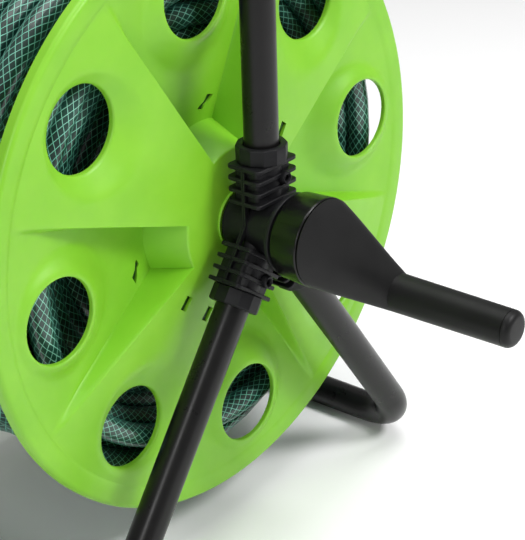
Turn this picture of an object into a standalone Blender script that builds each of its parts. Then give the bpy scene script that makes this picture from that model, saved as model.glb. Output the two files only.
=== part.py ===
"""Garden hose reel on a tubular steel stand.

Two ribbed plastic brackets clamp an upright handle tube and two U-shaped leg tubes.
Between them turns a reel: two lime flanges clipped to two drum halves, a wound hose,
a crank on the near side (+X) and a water inlet swivel on the far side (-X).
Units are metres, +Z is up, +X is the reel's axis. The origin is on the floor, under the
middle of the object.
"""
import math

import bmesh
import bpy
from mathutils import Matrix, Vector

# ---------------------------------------------------------------- driving dimensions
AXLE_HEIGHT = 0.2262           # reel axis above the floor
REEL_WIDTH = 0.200             # between the rim planes of the two flanges
TUBE_R = 0.011                 # 22 mm steel tube
TUBE_WALL = 0.0012
TUBE_SIDES_RES = 4             # bevel resolution: a twelve-sided tube
TUBE_FLAT = TUBE_R * math.cos(math.pi / 12)
LEG_SPREAD = 0.157             # floor rails, front and rear of the axis
LEG_BEND_R = 0.040
LEG_TILT = math.pi / 12         # turns a flat of the tube's section to the floor
HANDLE_RISE = 0.3105           # handle's top bar above the reel axis
HANDLE_BEND_R = 0.048
CLAMP_X = 0.035                # tube plane, outside the near rim plane
GAP = 0.0003                   # between faces that touch

FLANGE_R = 0.200
FLANGE_T = 0.0024
RIM_R = 0.185                  # inner edge of the rim band
BOSS_R = 0.058                 # foot of a sunk sector's end wall
CROWN = (0.048, 0.013)         # edge of the domed centre: radius, height
HUB_RING_R = (0.0193, 0.0203)  # raised lip round the bracket's barrel
HUB_LIP = 0.0014
FLOOR_DROP = 0.015             # sunk sectors at the boss edge
HUB_RISE = 0.0158              # hub ring
SECTORS = 8
SECTOR_TURN = math.radians(6.88)
SECTOR_STEPS = (5, 3, 4)       # mesh steps along a sector's rim, boss edge and flanks
WINDOW_R = 0.0271
WINDOW_CIRCLE = 0.1486
WINDOW_ROWS = (0.0, 0.003, 0.016)   # mesh rings, out from a window's edge
COLLAR = (0.002, 0.0025, 0.60)      # round a sunk sector's window: height, flat crest, slope
CRATER = (-0.0015, 0.48)            # round a raised sector's window: height, slope
WALL_DRAFT = math.radians(1.6)

DRUM_R = 0.0665
DRUM_T = 0.0025
DRUM_HALVES = (1, 5)           # the sectors that the two halves' middles lie on
# clips, either side of a half's middle: turn from it, radius, lean of the long axis towards it,
# slot length and width, tip of the prong
CLIPS = ((math.radians(10.6), 0.0652, 0.0, (0.0097, 0.0053), 0.0095),
         (math.radians(34.5), 0.0702, math.radians(14), (0.0121, 0.0046), -0.0150))
CLIP_FIT = 0.0016              # a slot's length and width over its prong's
COIL_IN = 0.0725
COIL_OUT = 0.187
HOSE_R = 0.008

BARREL_R = 0.0190
BARREL_LIP_R = 0.0260          # wide lip behind the crank
BARREL_X = (0.0165, 0.0592)
SOCKET_R = 0.0127
RIB_BOTTOMS = (0.0188, 0.0264, 0.0340, 0.0416)
RIB_T = 0.0026
RIB_HALF = (0.0130, 0.0192)    # along the reel axis, across the tube
WEB_T = 0.0024                 # parting web that joins the ribs
COLLAR_SPAN = (0.0445, 0.0553)
TUBE_START = 0.0235            # tubes begin this far from the reel axis
SCREW_AT = (0.0333, 0.0055)    # along the tube, across it
SCREW_BOSS_R = 0.0041
SPINDLE_R = 0.0125
BUSH_R = 0.0155

CRANK_X = (0.0618, 0.0828)
CRANK_R = (0.0276, 0.0288)     # behind, in front
GRIP_R = (0.0127, 0.0121)      # at the funnel, at the end cap
GRIP_CENTRE = (0.0410, -0.0421)
GRIP_X = (0.1100, 0.1920)
CAP_END = 0.1973

INLET_X = -0.2810              # axis of the inlet's downward branch
X_NEAR, X_FAR = CAP_END, INLET_X - 0.0165
HUB = Vector((-(X_NEAR + X_FAR) / 2, 0, AXLE_HEIGHT))

# ---------------------------------------------------------------- scene and collections
for old in list(bpy.data.objects):
    bpy.data.objects.remove(old, do_unlink=True)

parts = bpy.data.collections.new("garden_hose_reel")
cutters = bpy.data.collections.new("cutters")
bpy.context.scene.collection.children.link(parts)
bpy.context.scene.collection.children.link(cutters)


def joint_empty(name):
    """An empty on the reel's axis, which carries the pieces of one body."""
    empty = bpy.data.objects.new(name, None)
    empty.location = HUB
    parts.objects.link(empty)
    return empty


stand, reel, inlet = joint_empty("stand_axis"), joint_empty("reel_axis"), joint_empty("inlet_axis")


def material(name, colour, roughness, metallic=0.0):
    mat = bpy.data.materials.new(name)
    mat.use_nodes = True
    shader = mat.node_tree.nodes["Principled BSDF"]
    shader.inputs["Base Color"].default_value = (*colour, 1)
    shader.inputs["Roughness"].default_value = roughness
    shader.inputs["Metallic"].default_value = metallic
    return mat


LIME = material("lime_plastic", (0.26, 0.68, 0.065), 0.38)
BLACK = material("black_plastic", (0.022, 0.022, 0.024), 0.5)
GLOSS = material("gloss_black_plastic", (0.008, 0.008, 0.009), 0.15)
PAINT = material("black_paint", (0.018, 0.017, 0.017), 0.32)
STEEL = material("zinc_steel", (0.55, 0.55, 0.53), 0.35, 1.0)
NYLON = material("nylon", (0.75, 0.74, 0.70), 0.45)
RUBBER = material("rubber", (0.02, 0.02, 0.02), 0.7)
HOSE = material("green_hose", (0.02, 0.16, 0.10), 0.25)


def add(name, data, parent, mat, smooth_angle=30):
    """One named object under its body's empty."""
    obj = bpy.data.objects.new(name, data)
    obj.parent = parent
    (parts if mat else cutters).objects.link(obj)
    if mat:
        data.materials.append(mat)
        if isinstance(data, bpy.types.Mesh):
            data.shade_smooth()
            data.set_sharp_from_angle(angle=math.radians(smooth_angle))
    else:
        obj.hide_render = True
        obj.display_type = "WIRE"
    return obj


def side_x(side, x):
    """Distance x outside the near rim plane (side 1), or its mirror at the far one (side -1)."""
    return x if side > 0 else -REEL_WIDTH - x


def mesh_from(bm, name):
    bmesh.ops.recalc_face_normals(bm, faces=bm.faces)
    mesh = bpy.data.meshes.new(name)
    bm.to_mesh(mesh)
    bm.free()
    return mesh


def loft(name, rings, ends=True):
    """A skin over rings of points; with ends, both end rings are filled."""
    bm = bmesh.new()
    rows = [[bm.verts.new(p) for p in ring] for ring in rings]
    count = len(rows[0])
    for low, high in zip(rows, rows[1:]):
        for i in range(count):
            j = (i + 1) % count
            bm.faces.new((low[i], low[j], high[j], high[i]))
    if ends:
        bm.faces.new(rows[0])
        bm.faces.new(rows[-1])
    return mesh_from(bm, name)


def circle_x(x, r, centre=(0, 0), sides=24):
    """A ring of points round the X direction; the points straddle the axes."""
    turn = [(i + 0.5) * 2 * math.pi / sides for i in range(sides)]
    return [(x, centre[0] + r * math.cos(a), centre[1] + r * math.sin(a)) for a in turn]


def turned(name, profile, sides=24):
    """A closed ring of metal or plastic about X, from the (x, r) points of its section."""
    bm = bmesh.new()
    rows = [[bm.verts.new(p) for p in circle_x(x, r, sides=sides)] for x, r in profile]
    for low, high in zip(rows, rows[1:] + rows[:1]):
        for i in range(sides):
            j = (i + 1) % sides
            bm.faces.new((low[i], low[j], high[j], high[i]))
    return mesh_from(bm, name)


def rod(name, start, end, r, sides=24):
    """A plain cylinder between two points."""
    start, end = Vector(start), Vector(end)
    bm = bmesh.new()
    turn = (end - start).to_track_quat("Z", "Y").to_matrix().to_4x4()
    place = Matrix.Translation((start + end) / 2) @ turn @ Matrix.Rotation(math.pi / sides, 4, "Z")
    bmesh.ops.create_cone(bm, cap_ends=True, segments=sides, radius1=r, radius2=r,
                          depth=(end - start).length, matrix=place)
    return mesh_from(bm, name)


def block(name, centre, size, turn=Matrix.Identity(4)):
    """A box of a full size, centred and then turned about the reel's axis."""
    bm = bmesh.new()
    shape = Matrix.Diagonal((*size, 1))
    bmesh.ops.create_cube(bm, size=1, matrix=turn @ Matrix.Translation(centre) @ shape)
    return mesh_from(bm, name)


def group(name, meshes, parent):
    """A hidden collection of solids, for one Boolean."""
    coll = bpy.data.collections.new(name)
    cutters.children.link(coll)
    for mesh in meshes:
        obj = add(mesh.name, mesh, parent, None)
        cutters.objects.unlink(obj)
        coll.objects.link(obj)
    return coll


def boolean(obj, operation, operand):
    """An exact Boolean with one hidden object or with a collection of them."""
    mod = obj.modifiers.new(operation.lower(), "BOOLEAN")
    mod.operation = operation
    mod.solver = "EXACT"
    if isinstance(operand, bpy.types.Collection):
        mod.operand_type = "COLLECTION"
        mod.collection = operand
    else:
        mod.object = operand


# ---------------------------------------------------------------- tubes
def rounded_path(corners, radius, steps=5):
    """Corner points joined by straight runs, with an arc of the given radius at each bend."""
    corners = [Vector(c) for c in corners]
    path = [corners[0]]
    for before, corner, after in zip(corners, corners[1:], corners[2:]):
        u, v = (before - corner).normalized(), (after - corner).normalized()
        half = u.angle(v) / 2
        reach = radius / math.tan(half)
        centre = corner + (u + v).normalized() * radius / math.sin(half)
        first, last = corner + u * reach - centre, corner + v * reach - centre
        sweep = first.angle(last)
        for i in range(steps + 1):
            t = i / steps
            a = math.sin((1 - t) * sweep) / math.sin(sweep)
            b = math.sin(t * sweep) / math.sin(sweep)
            path.append(centre + first * a + last * b)
    return path + [corners[-1]]


def tube(name, path, r, wall, parent, mat, tilt=0.0):
    """A bent tube with open ends and a real wall."""
    curve = bpy.data.curves.new(name, "CURVE")
    curve.dimensions = "3D"
    curve.bevel_depth = r
    curve.bevel_resolution = TUBE_SIDES_RES
    curve.use_fill_caps = False
    curve.twist_mode = "Z_UP"
    curve.render_resolution_u = 0
    spline = curve.splines.new("POLY")
    spline.points.add(len(path) - 1)
    for point, place in zip(spline.points, path):
        point.co = (*place, 1)
        point.tilt = tilt
    obj = add(name, curve, parent, mat)
    shell = obj.modifiers.new("wall", "SOLIDIFY")
    shell.thickness = wall
    shell.offset = -1
    shell.use_even_offset = True
    return obj


NEAR_TUBE_X = CLAMP_X
FAR_TUBE_X = side_x(-1, CLAMP_X)


def leg(name, forward):
    """A U of tube: down from the near bracket, along the floor, and up to the far bracket."""
    foot = Vector((0, forward * LEG_SPREAD, TUBE_FLAT - AXLE_HEIGHT))
    down = foot.normalized()
    near, far = Vector((NEAR_TUBE_X, 0, 0)), Vector((FAR_TUBE_X, 0, 0))
    corners = [near + down * TUBE_START, near + foot, far + foot, far + down * TUBE_START]
    tube(name, rounded_path(corners, LEG_BEND_R), TUBE_R, TUBE_WALL, stand, PAINT,
         tilt=LEG_TILT)
    return down


LEG_DOWN = {"front": leg("front_leg_tube", -1), "rear": leg("rear_leg_tube", 1)}
tube("handle_tube",
     rounded_path([(NEAR_TUBE_X, 0, TUBE_START), (NEAR_TUBE_X, 0, HANDLE_RISE),
                   (FAR_TUBE_X, 0, HANDLE_RISE), (FAR_TUBE_X, 0, TUBE_START)], HANDLE_BEND_R),
     TUBE_R, TUBE_WALL, stand, PAINT)


def handle_grip():
    """Soft sleeve on the middle of the handle's top bar."""
    middle = (NEAR_TUBE_X + FAR_TUBE_X) / 2
    half, edge, bore = 0.056, 0.002, TUBE_R + 2 * GAP
    section = [(middle - half, bore), (middle - half, 0.0135), (middle - half + edge, 0.0150),
               (middle + half - edge, 0.0150), (middle + half, 0.0135), (middle + half, bore)]
    obj = add("handle_grip", turned("handle_grip", section), stand, RUBBER)
    obj.location = (0, 0, HANDLE_RISE)


handle_grip()


# ---------------------------------------------------------------- brackets
def socket_turns():
    """Rotations about X that take the upright socket to each of the three sockets."""
    lean = LEG_DOWN["rear"].angle(Vector((0, 0, -1)))
    return {"upright": Matrix.Identity(4),
            "front": Matrix.Rotation(math.pi - lean, 4, "X"),
            "rear": Matrix.Rotation(math.pi + lean, 4, "X")}


TURNS = socket_turns()


def across(socket):
    """Which side of a socket's middle its screw is on."""
    return {"upright": 1, "front": -1, "rear": 1}[socket]


def screw_face(side):
    """Outer face of the screw bosses."""
    return side_x(side, CLAMP_X) + side * (RIB_HALF[0] + 0.0012)


def bracket(prefix, side):
    """Outer and inner half of one three-way bracket, clamped round the tubes and the bush."""
    middle = side_x(side, CLAMP_X)
    ends = [side_x(side, x) for x in BARREL_X]
    beyond = [side_x(side, x) for x in (BARREL_X[0] - 0.01, BARREL_X[1] + 0.01)]
    holes = [rod("bush_hole", (beyond[0], 0, 0), (beyond[1], 0, 0), BUSH_R + GAP)]
    solids = [rod("barrel_lip", (ends[1] - side * 0.003, 0, 0), (ends[1], 0, 0), BARREL_LIP_R, 32)]
    low, high = RIB_BOTTOMS[0], RIB_BOTTOMS[-1] + RIB_T
    face = screw_face(side)
    for socket, turn in TURNS.items():
        solids.append(rod("socket", turn @ Vector((middle, 0, low - 0.006)),
                          turn @ Vector((middle, 0, high - 0.0002)), SOCKET_R, 16))
        solids.append(block("web", (middle, 0, (low + high) / 2),
                            (WEB_T, 2 * RIB_HALF[1] - 0.0006, high - low - 0.001), turn))
        for bottom in RIB_BOTTOMS:
            solids.append(block("rib", (middle, 0, bottom + RIB_T / 2),
                                (2 * RIB_HALF[0], 2 * RIB_HALF[1], RIB_T), turn))
        y = SCREW_AT[1] * across(socket)
        solids.append(rod("screw_boss", turn @ Vector((middle + side * 0.0075, y, SCREW_AT[0])),
                          turn @ Vector((face, y, SCREW_AT[0])), SCREW_BOSS_R, 12))
        holes.append(rod("tube_hole", turn @ Vector((middle, 0, TUBE_START - 0.0006)),
                         turn @ Vector((middle, 0, high + 0.01)), TUBE_R + 2 * GAP, 16))
        holes.append(rod("screw_hole", turn @ Vector((middle + side * 0.0065, y, SCREW_AT[0])),
                         turn @ Vector((face + side * 0.01, y, SCREW_AT[0])), 0.0021, 8))
    joined = group(prefix + "_solids", solids, stand)
    bored = group(prefix + "_holes", holes, stand)
    for half, way in (("outer", side), ("inner", -side)):
        barrel = rod("barrel", (min(ends), 0, 0), (max(ends), 0, 0), BARREL_R, 32)
        obj = add(f"{prefix}_bracket_{half}", barrel, stand, BLACK)
        keep = block("half_space", (middle + way * (0.05 + GAP / 2), 0, 0), (0.1, 0.3, 0.3))
        boolean(obj, "UNION", joined)
        boolean(obj, "DIFFERENCE", bored)
        boolean(obj, "INTERSECT", add("half_space", keep, stand, None))


def bush(name, side):
    """Plain bearing sleeve between a bracket and its spindle."""
    x0, x1 = (side_x(side, x) for x in (BARREL_X[0] + 0.0005, BARREL_X[1] - 0.0005))
    bore = SPINDLE_R + GAP
    add(name, turned(name, [(x0, bore), (x0, BUSH_R), (x1, BUSH_R), (x1, bore)]), stand, NYLON)


def tube_collar(name, side, socket):
    """Twelve-sided collar at a socket's mouth."""
    middle = side_x(side, CLAMP_X)
    base, top = COLLAR_SPAN
    sides = 12

    def ring(r, z, count=sides, turn=0.5):
        steps = [(i + turn) * 2 * math.pi / count for i in range(count)]
        return [TURNS[socket] @ Vector((middle + r * math.cos(a), r * math.sin(a), z))
                for a in steps]

    body = loft(name, [ring(0.0160, base), ring(0.0164, top - 0.0014),
                       ring(0.0160, top - 0.0004), ring(0.0154, top)])
    obj = add(name, body, stand, BLACK)
    bore = rod("collar_hole", TURNS[socket] @ Vector((middle, 0, base - 0.01)),
               TURNS[socket] @ Vector((middle, 0, top + 0.01)), TUBE_R + 2 * GAP, 16)
    boolean(obj, "DIFFERENCE", add("collar_hole", bore, stand, None))


def lock_screw(name, side, socket):
    """Grub screw in a socket's boss, which presses on the tube."""
    place = TURNS[socket] @ Vector((0, SCREW_AT[1] * across(socket), SCREW_AT[0]))
    centre = (place.y, place.z)
    tip = math.sqrt(TUBE_R ** 2 - SCREW_AT[1] ** 2) + GAP
    start, end = side_x(side, CLAMP_X) + side * tip, screw_face(side) - side * 0.0008
    rings = [circle_x(start, 0.0012, centre, 8), circle_x(start + side * 0.0008, 0.0017, centre, 8),
             circle_x(end, 0.0017, centre, 8)]
    add(name, loft(name, rings), stand, STEEL)


for prefix, side in (("near", 1), ("far", -1)):
    bracket(prefix, side)
    bush(f"{prefix}_bush", side)
    for socket in TURNS:
        tube_collar(f"{prefix}_{socket}_collar", side, socket)
        lock_screw(f"{prefix}_{socket}_screw", side, socket)


# ---------------------------------------------------------------- flanges
def sector_angle(k):
    return SECTOR_TURN + k * 2 * math.pi / SECTORS


def cone(r, inner, height):
    """A straight slope from the rim band to a height at an inner radius."""
    return height * (RIM_R - r) / (RIM_R - inner)


def sector_surface(raised, y, z, centre):
    """Height of a sector at a point: its slope, clamped by the cone round its window."""
    r = math.hypot(y, z)
    away = math.hypot(y - centre[0], z - centre[1]) - WINDOW_R
    if raised:
        return min(cone(r, *CROWN), CRATER[0] + CRATER[1] * max(0.0, away))
    height, crest, slope = COLLAR
    return max(cone(r, BOSS_R, -FLOOR_DROP), height - slope * max(0.0, away - crest))


def sector_outline(mid, half, inner):
    """Points round a sector's edge, met by rays from its window's centre."""
    centre = (WINDOW_CIRCLE * math.cos(mid), WINDOW_CIRCLE * math.sin(mid))
    arc_out, arc_in, flank = SECTOR_STEPS
    edge = [(RIM_R, -half + 2 * half * i / arc_out) for i in range(arc_out)]
    edge += [(RIM_R + (inner - RIM_R) * i / flank, half) for i in range(flank)]
    edge += [(inner, half - 2 * half * i / arc_in) for i in range(arc_in)]
    edge += [(inner + (RIM_R - inner) * i / flank, -half) for i in range(flank)]
    return centre, [(r * math.cos(mid + a), r * math.sin(mid + a)) for r, a in edge]


def clip_places(sector):
    """Each clip of a drum half: its (y, z) centre, turn of its long axis, slot and tip."""
    mid = sector_angle(sector)
    for way in (-1, 1):
        for turn, r, lean, slot, tip in CLIPS:
            a = mid + way * turn
            yield (r * math.cos(a), r * math.sin(a)), mid - way * lean, slot, tip


def clip_block(name, x0, x1, centre, turn, size):
    """A box along the reel's axis, with its long side turned about its own middle."""
    bm = bmesh.new()
    place = Matrix.Translation(((x0 + x1) / 2, *centre)) @ Matrix.Rotation(turn, 4, "X")
    shape = Matrix.Diagonal((abs(x1 - x0), *size, 1))
    bmesh.ops.create_cube(bm, size=1, matrix=place @ shape)
    return mesh_from(bm, name)


def flange(name, side):
    """Moulded disc: windows, raised and sunk sectors, domed centre and rolled rim."""
    bm = bmesh.new()
    at_rim, at_boss, along_flank = SECTOR_STEPS
    corner_b = at_rim + along_flank
    corner_c = corner_b + at_boss

    def vertex(y, z, x):
        return bm.verts.new((side_x(side, x), y, z))

    def band(low, high, closed=True):
        for i in range(len(low) if closed else len(low) - 1):
            j = (i + 1) % len(low)
            corners = []
            for v in (low[i], low[j], high[j], high[i]):
                if v not in corners:
                    corners.append(v)
            if len(corners) > 2:
                bm.faces.new(corners)

    rims, flanks, bosses = [], [], []
    for k in range(SECTORS):
        raised = k % 2 == 1
        mid = sector_angle(k)
        inner = CROWN[0] if raised else BOSS_R
        centre, outline = sector_outline(mid, math.pi / SECTORS - WALL_DRAFT / 2, inner)
        edge = [vertex(y, z, sector_surface(raised, y, z, centre)) for y, z in outline]
        rows = []
        for reach in WINDOW_ROWS:
            row = []
            for y, z in outline:
                a = math.atan2(z - centre[1], y - centre[0])
                d = WINDOW_R + min(reach, 0.6 * (math.hypot(y - centre[0], z - centre[1]) - WINDOW_R))
                p = (centre[0] + d * math.cos(a), centre[1] + d * math.sin(a))
                row.append(vertex(*p, sector_surface(raised, *p, centre)))
            rows.append(row)
        for low, high in zip(rows, rows[1:] + [edge]):
            band(low, high)
        rims.append(edge[:at_rim + 1])
        flanks.append((edge[at_rim:corner_b + 1], [edge[0]] + edge[:corner_c - 1:-1]))
        bosses.append(edge[corner_b:corner_c + 1])
    rim_inner, boss_edge = [], []
    for k in range(SECTORS):
        after = (k + 1) % SECTORS
        band(flanks[k][0], flanks[after][1], closed=False)
        rim_inner += rims[k]
        boss_edge += bosses[k][::-1]
    rim_out = []
    for r, x in ((FLANGE_R - 0.002, 0.0), (FLANGE_R, -0.0060)):
        ring = []
        for v in rim_inner:
            a = math.atan2(v.co.z, v.co.y)
            ring.append(vertex(r * math.cos(a), r * math.sin(a), x))
        rim_out.append(ring)
    for low, high in zip([rim_inner] + rim_out, rim_out):
        band(low, high)
    dome = []
    bore = SPINDLE_R + GAP
    crown = HUB_RISE - HUB_LIP
    for r, x in ((CROWN[0] - 0.0020, CROWN[1] + 0.0001), (HUB_RING_R[1], crown),
                 (HUB_RING_R[0], HUB_RISE), (bore, crown)):
        ring = []
        for v in boss_edge:
            a = math.atan2(v.co.z, v.co.y)
            ring.append(vertex(r * math.cos(a), r * math.sin(a), x))
        dome.append(ring)
    for low, high in zip([boss_edge] + dome, dome):
        band(low, high)
    bmesh.ops.recalc_face_normals(bm, faces=bm.faces)
    top = max(bm.faces, key=lambda f: f.calc_center_median().x * side)
    if top.normal.x * side < 0:
        bmesh.ops.reverse_faces(bm, faces=bm.faces)
    mesh = bpy.data.meshes.new(name)
    bm.to_mesh(mesh)
    bm.free()
    obj = add(name, mesh, reel, LIME)
    shell = obj.modifiers.new("wall", "SOLIDIFY")
    shell.thickness = FLANGE_T
    shell.offset = -1
    shell.use_even_offset = True
    slots = []
    for sector in DRUM_HALVES:
        for centre, turn, slot, tip in clip_places(sector):
            ends = [side_x(side, tip + reach) for reach in (-0.007, 0.008)]
            slots.append(clip_block("clip_slot", *ends, centre, turn, slot))
    boolean(obj, "DIFFERENCE", group(name + "_slots", slots, reel))


flange("near_flange", 1)
flange("far_flange", -1)


# ---------------------------------------------------------------- drum
OUTLET_ANGLE = (sector_angle(1) + sector_angle(2)) / 2
OUTLET_X = -0.1710


def drum_half(name, sector):
    """Half of the drum's wall, with four clip prongs at each end."""
    span, steps = math.radians(172), 16
    mid = sector_angle(sector)
    x0, x1 = -0.0186, side_x(-1, -0.0186)

    def arc(x, r):
        turn = [mid - span / 2 + span * i / steps for i in range(steps + 1)]
        return [(x, r * math.cos(a), r * math.sin(a)) for a in turn]

    rings = [arc(x, DRUM_R) + arc(x, DRUM_R + DRUM_T)[::-1] for x in (x0, x1)]
    obj = add(name, loft(name, rings), reel, LIME)
    prongs = []
    for centre, turn, slot, tip in clip_places(sector):
        prong = [size - CLIP_FIT for size in slot]
        for side in (1, -1):
            prongs.append(clip_block("prong", side_x(side, -0.0189), side_x(side, tip),
                                     centre, turn, prong))
    boolean(obj, "UNION", group(name + "_prongs", prongs, reel))
    if abs(OUTLET_ANGLE - mid) < span / 2:
        out = Vector((0, math.cos(OUTLET_ANGLE), math.sin(OUTLET_ANGLE)))
        hub = Vector((OUTLET_X, 0, 0))
        hole = rod("outlet_hole", hub + out * 0.055, hub + out * 0.080, 0.0078, 16)
        boolean(obj, "DIFFERENCE", add("outlet_hole", hole, reel, None))


for index, sector in enumerate(DRUM_HALVES):
    drum_half(f"drum_half_{index + 1}", sector)


# ---------------------------------------------------------------- spindles and crank
def drive_spindle():
    """Turns in the near bush: a collar behind the flange, and a six-sided drive end."""
    profile = [(0.0015, 0.0120), (0.0015, 0.0190), (0.0100, 0.0190), (0.0100, SPINDLE_R),
               (0.0602, SPINDLE_R), (0.0604, 0.0095), (0.0790, 0.0095)]
    rings = [circle_x(x, r) for x, r in profile]
    add("drive_spindle", loft("drive_spindle", rings), reel, BLACK)


def crank_hub():
    """Glossy drum that the drive end plugs into."""
    x0, x1 = CRANK_X
    bore = 0.0095 + GAP
    section = [(x0, bore), (x0, CRANK_R[0] - 0.0008), (x0 + 0.0008, CRANK_R[0]),
               (x1, CRANK_R[1]), (x1, bore)]
    add("crank_hub", turned("crank_hub", section, 32), reel, GLOSS)


def crank_arm():
    """Oblique funnel from the hub's face to the grip, and the straight grip."""
    x0 = CRANK_X[1] + GAP
    rings = [circle_x(x0, CRANK_R[1] - 0.0004, sides=32),
             circle_x(x0 + 0.0008, CRANK_R[1] - 0.0010, sides=32)]
    for x, r in zip(GRIP_X, GRIP_R):
        rings.append(circle_x(x, r, GRIP_CENTRE, 32))
    add("crank_arm", loft("crank_arm", rings), reel, BLACK)


def crank_end_cap():
    """Domed cap on the grip's end."""
    x0 = GRIP_X[1] + GAP
    radius = GRIP_R[1]
    profile = [(x0, radius)]
    bend = 0.0048
    for i in range(5):
        a = math.radians(90 * i / 4.6)
        profile.append((CAP_END - bend + bend * math.sin(a), radius - bend + bend * math.cos(a)))
    profile.append((CAP_END, radius - bend - 0.001))
    rings = [circle_x(x, r, GRIP_CENTRE) for x, r in profile]
    add("crank_end_cap", loft("crank_end_cap", rings), reel, BLACK)


drive_spindle()
crank_hub()
crank_arm()
crank_end_cap()


# ---------------------------------------------------------------- water path
SPINDLE_END = -0.2740


def water_spindle():
    """Hollow spindle in the far bush: water runs from the inlet elbow to the outlet elbow."""
    collar = [side_x(-1, x) for x in (0.0015, 0.0100)]
    face = side_x(-1, BARREL_X[1] + 0.0005)
    bore, nose, groove = 0.0060, 0.0095, 0.0078
    section = [(-0.1640, bore), (-0.1640, SPINDLE_R), (collar[0], SPINDLE_R), (collar[0], 0.0190),
               (collar[1], 0.0190), (collar[1], SPINDLE_R), (face, SPINDLE_R), (face, nose),
               (-0.2672, nose), (-0.2672, groove), (-0.2704, groove), (-0.2704, nose),
               (SPINDLE_END, nose), (SPINDLE_END, bore)]
    add("water_spindle", turned("water_spindle", section), reel, BLACK)


def outlet_elbow():
    """Sleeve on the spindle's inner end, a radial pipe, and a barb along the first turn."""
    out = Vector((0, math.cos(OUTLET_ANGLE), math.sin(OUTLET_ANGLE)))
    along = Vector((0, -out.z, out.y))
    hub = Vector((OUTLET_X, 0, 0))
    tip = hub + out * (COIL_IN + 0.0095)
    section = [(-0.1625, 0.0040), (-0.1625, 0.0185), (-0.1795, 0.0185), (-0.1795, SPINDLE_R + GAP),
               (-0.1637, SPINDLE_R + GAP), (-0.1637, 0.0040)]
    obj = add("outlet_elbow", turned("outlet_elbow", section), reel, BLACK)
    limbs = [rod("radial_pipe", hub + out * 0.0155, tip + out * 0.0060, 0.0068, 16),
             rod("barb", tip, tip + along * 0.0200, 0.0060, 16)]
    boolean(obj, "UNION", group("outlet_limbs", limbs, reel))


def inlet_elbow():
    """Swivels on the spindle's nose and turns the water path straight down."""
    face = side_x(-1, BARREL_X[1] + 0.0012)
    obj = add("inlet_elbow", rod("inlet_elbow", (face, 0, 0), (INLET_X - 0.0150, 0, 0), 0.0160),
              inlet, BLACK)
    limbs = [rod("branch", (INLET_X, 0, 0), (INLET_X, 0, -0.0360), 0.0125),
             rod("end_boss", (INLET_X - 0.0140, 0, 0), (X_FAR, 0, 0), 0.0110)]
    holes = [rod("nose_hole", (face + 0.01, 0, 0), (SPINDLE_END - 0.0006, 0, 0), 0.0099),
             rod("water_hole", (face + 0.01, 0, 0), (INLET_X - 0.0030, 0, 0), 0.0058),
             rod("branch_hole", (INLET_X, 0, -0.0005), (INLET_X, 0, -0.0500), 0.0062),
             rod("nipple_hole", (INLET_X, 0, -0.0230), (INLET_X, 0, -0.0500), 0.0092)]
    boolean(obj, "UNION", group("inlet_limbs", limbs, inlet))
    boolean(obj, "DIFFERENCE", group("inlet_holes", holes, inlet))


def inlet_seal():
    """O-ring in the spindle's groove."""
    middle, major, minor, steps = -0.2688, 0.00880, 0.00065, 6
    turn = [i * 2 * math.pi / steps for i in range(steps)]
    section = [(middle + minor * math.cos(a), major + minor * math.sin(a)) for a in turn]
    add("inlet_seal", turned("inlet_seal", section), inlet, RUBBER)


def inlet_nipple():
    """Threaded-in nipple for a tap hose's snap connector."""
    bore = 0.0052
    profile = [(-0.0236, bore), (-0.0236, 0.0088), (-0.0364, 0.0088), (-0.0364, 0.0125),
               (-0.0425, 0.0125), (-0.0430, 0.0078), (-0.0530, 0.0078), (-0.0545, 0.0092),
               (-0.0580, 0.0092), (-0.0595, 0.0080), (-0.0625, 0.0080), (-0.0625, bore)]
    bm = bmesh.new()
    sides = 24
    rows = []
    for z, r in profile:
        turn = [(i + 0.5) * 2 * math.pi / sides for i in range(sides)]
        rows.append([bm.verts.new((r * math.cos(a), r * math.sin(a), z)) for a in turn])
    for low, high in zip(rows, rows[1:] + rows[:1]):
        for i in range(sides):
            j = (i + 1) % sides
            bm.faces.new((low[i], low[j], high[j], high[i]))
    obj = add("inlet_nipple", mesh_from(bm, "inlet_nipple"), inlet, BLACK)
    obj.location = (INLET_X, 0, 0)


water_spindle()
outlet_elbow()
inlet_elbow()
inlet_seal()
inlet_nipple()


# ---------------------------------------------------------------- hose
END_ANGLE = math.radians(52)
END_X = -0.1585
POCKET_R = 0.176


def hose_winding():
    """The wound hose's outer shape, with room for its two end fittings."""
    section = [(-0.0195, COIL_IN), (-0.0080, COIL_OUT), (-0.1450, COIL_OUT), (-0.1450, POCKET_R),
               (-0.1720, POCKET_R), (-0.1720, COIL_OUT), (-0.1920, COIL_OUT),
               (-0.1830, COIL_IN + 0.0200), (-0.1600, COIL_IN + 0.0200), (-0.1600, COIL_IN)]
    add("hose_winding", turned("hose_winding", section, 32), reel, HOSE)


def hose_end_connector():
    """Snap connector on the hose's free end, lying along the outermost turn."""
    out = Vector((0, math.cos(END_ANGLE), math.sin(END_ANGLE)))
    along = Vector((0, -out.z, out.y))
    profile = [(0.0, 0.0085), (0.0, 0.0105), (0.010, 0.0112), (0.022, 0.0112), (0.024, 0.0098),
               (0.034, 0.0098), (0.036, 0.0108), (0.046, 0.0104), (0.046, 0.0070), (0.004, 0.0070),
               (0.004, 0.0085)]
    place = Vector((END_X, 0, 0)) + out * 0.1900
    turn = along.to_track_quat("Z", "Y").to_matrix()
    bm = bmesh.new()
    sides = 20
    rows = []
    for z, r in profile:
        steps = [(i + 0.5) * 2 * math.pi / sides for i in range(sides)]
        rows.append([bm.verts.new(place + turn @ Vector((r * math.cos(a), r * math.sin(a), z)))
                     for a in steps])
    for low, high in zip(rows, rows[1:] + rows[:1]):
        for i in range(sides):
            j = (i + 1) % sides
            bm.faces.new((low[i], low[j], high[j], high[i]))
    add("hose_end_connector", mesh_from(bm, "hose_end_connector"), reel, BLACK)


hose_winding()
hose_end_connector()
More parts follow.
